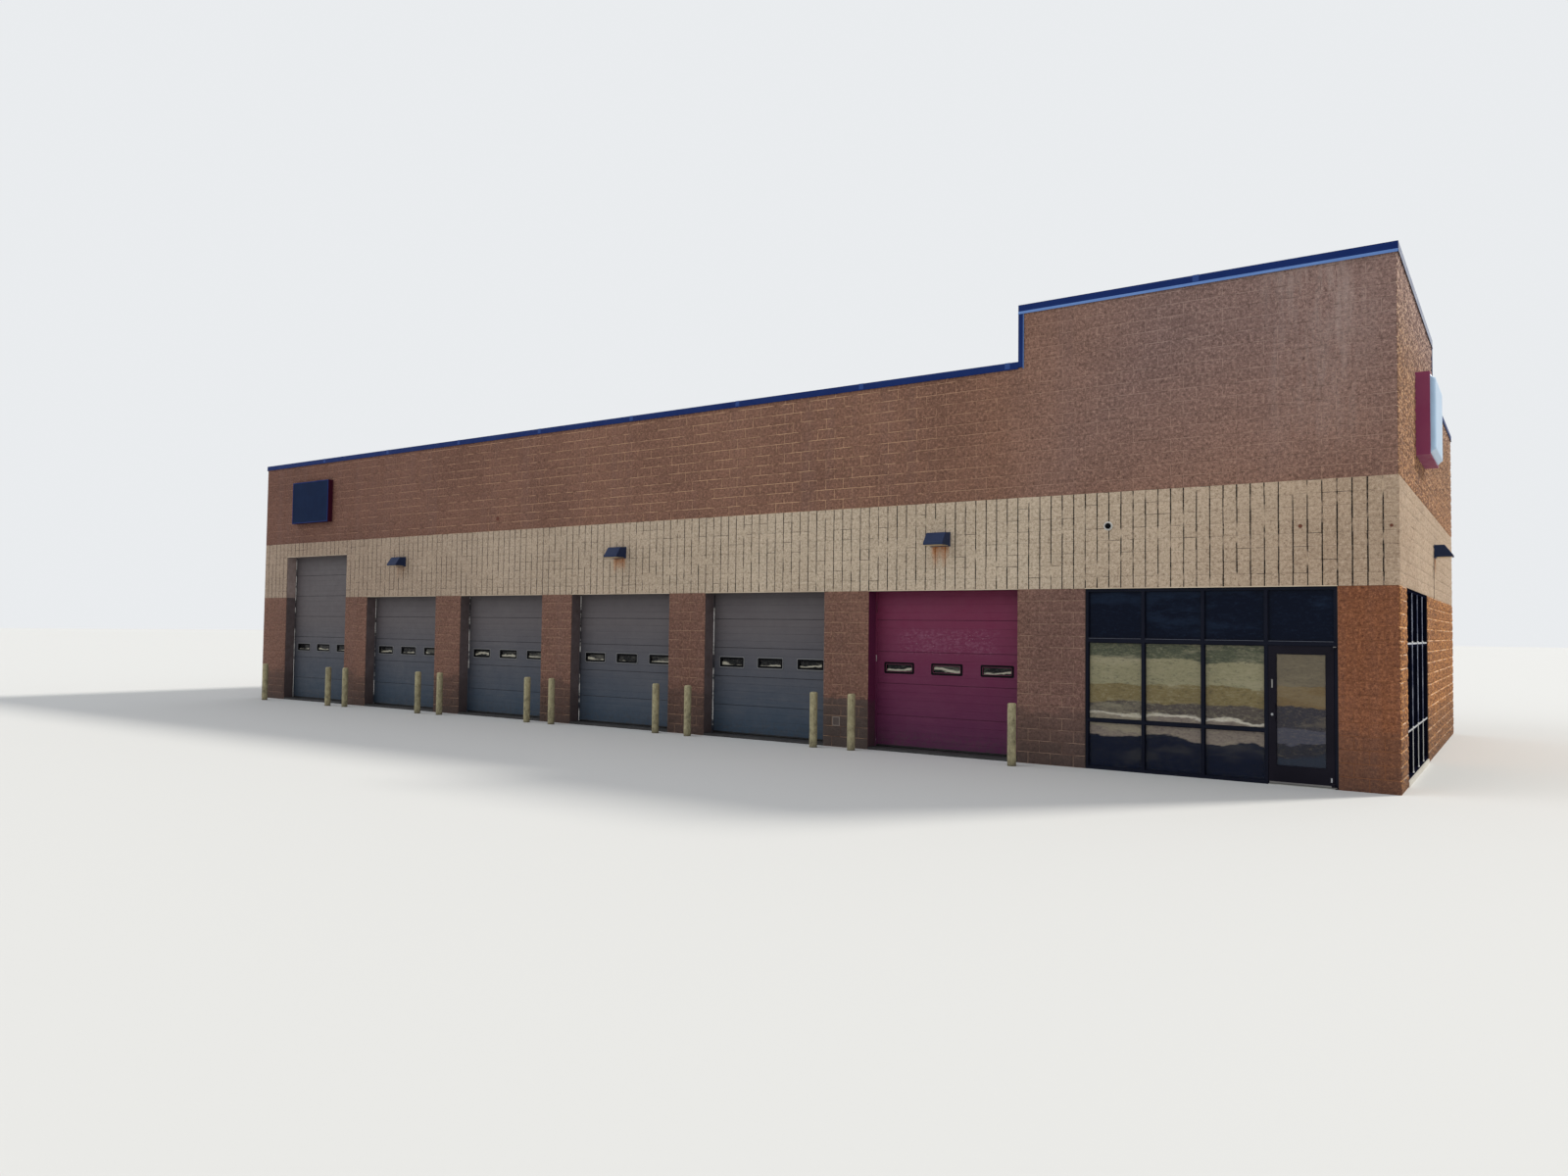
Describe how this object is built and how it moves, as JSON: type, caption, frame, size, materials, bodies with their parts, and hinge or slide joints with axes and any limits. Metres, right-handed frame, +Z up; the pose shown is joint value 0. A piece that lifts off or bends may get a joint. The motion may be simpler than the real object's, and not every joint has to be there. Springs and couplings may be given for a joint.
{
  "type": "auto parts store building",
  "caption": "Single-storey block-walled store with a row of closed vehicle doors, a glazed shop corner with a hinged entry door, and a stepped parapet.",
  "frame": {"origin": "middle of the plan at ground level, on the underside of the floor slab", "axes": "+X along the front to the right as seen from outside, +Y from the front to the rear, +Z up"},
  "size_m": [30.822, 12.9198, 8.128],
  "materials": {
    "brown_block": "rough painted split-face block",
    "tan_block": "rough painted scored block",
    "concrete": "trowelled concrete",
    "roof_membrane": "weathered sheet",
    "navy_metal": "satin",
    "grey_door_paint": "satin, dusty",
    "maroon_door_paint": "satin, dusty",
    "window_glass": "clear, slightly tinted",
    "bronze_frame": "dark anodised",
    "door_hardware": "satin",
    "threshold_metal": "mill finish",
    "maroon_sign_box": "satin",
    "dark_sign_face": "gloss",
    "white_sign_face": "gloss",
    "lamp_housing": "satin",
    "dome_plastic": "gloss",
    "bollard_paint": "worn paint"
  },
  "bodies": {
    "building": {"bollards": "bollard_paint", "coping_front": "navy_metal", "coping_left": "navy_metal", "coping_rear": "navy_metal", "coping_right": "navy_metal", "door_windows": "window_glass", "entry_frame": "bronze_frame", "entry_pivots": "door_hardware", "entry_threshold": "threshold_metal", "floor_slab": "concrete", "front_band_wall": "tan_block", "front_piers": "brown_block", "front_sign": "maroon_sign_box", "front_sign_face": "dark_sign_face", "front_upper_wall": "brown_block", "left_wall_band": "tan_block", "left_wall_base": "brown_block", "left_wall_upper": "brown_block", "overhead_door_1": "grey_door_paint", "overhead_door_2": "grey_door_paint", "overhead_door_3": "grey_door_paint", "overhead_door_4": "grey_door_paint", "overhead_door_5": "grey_door_paint", "overhead_door_6": "maroon_door_paint", "rear_wall_band": "tan_block", "rear_wall_base": "brown_block", "rear_wall_upper": "brown_block", "right_upper_wall": "brown_block", "right_wall_band": "tan_block", "right_wall_base": "brown_block", "roof_deck": "roof_membrane", "side_sign": "maroon_sign_box", "side_sign_face": "white_sign_face", "side_window_frame": "bronze_frame", "side_window_glass": "window_glass", "side_window_sill": "concrete", "storefront_frame": "bronze_frame", "storefront_glass": "window_glass", "tall_door_lintel": "tan_block", "tower_coping_front": "navy_metal", "tower_coping_right": "navy_metal", "tower_front_wall": "brown_block", "tower_right_wall": "brown_block", "wall_dome": "dome_plastic", "wall_lamps": "lamp_housing"},
    "entry_leaf": {"entry_door": "bronze_frame", "entry_door_glass": "window_glass", "entry_door_hardware": "door_hardware", "entry_door_closer": "bronze_frame"}
  },
  "joints": [
    {"name": "entry_door_hinge", "type": "hinge", "parent": "building", "child": "entry_leaf", "pos_m": [14.3704, -6.103, 0.018], "axis": [0, 0, 1], "range_deg": [0, 90], "stiffness_Nm_per_rad": 20}
  ]
}
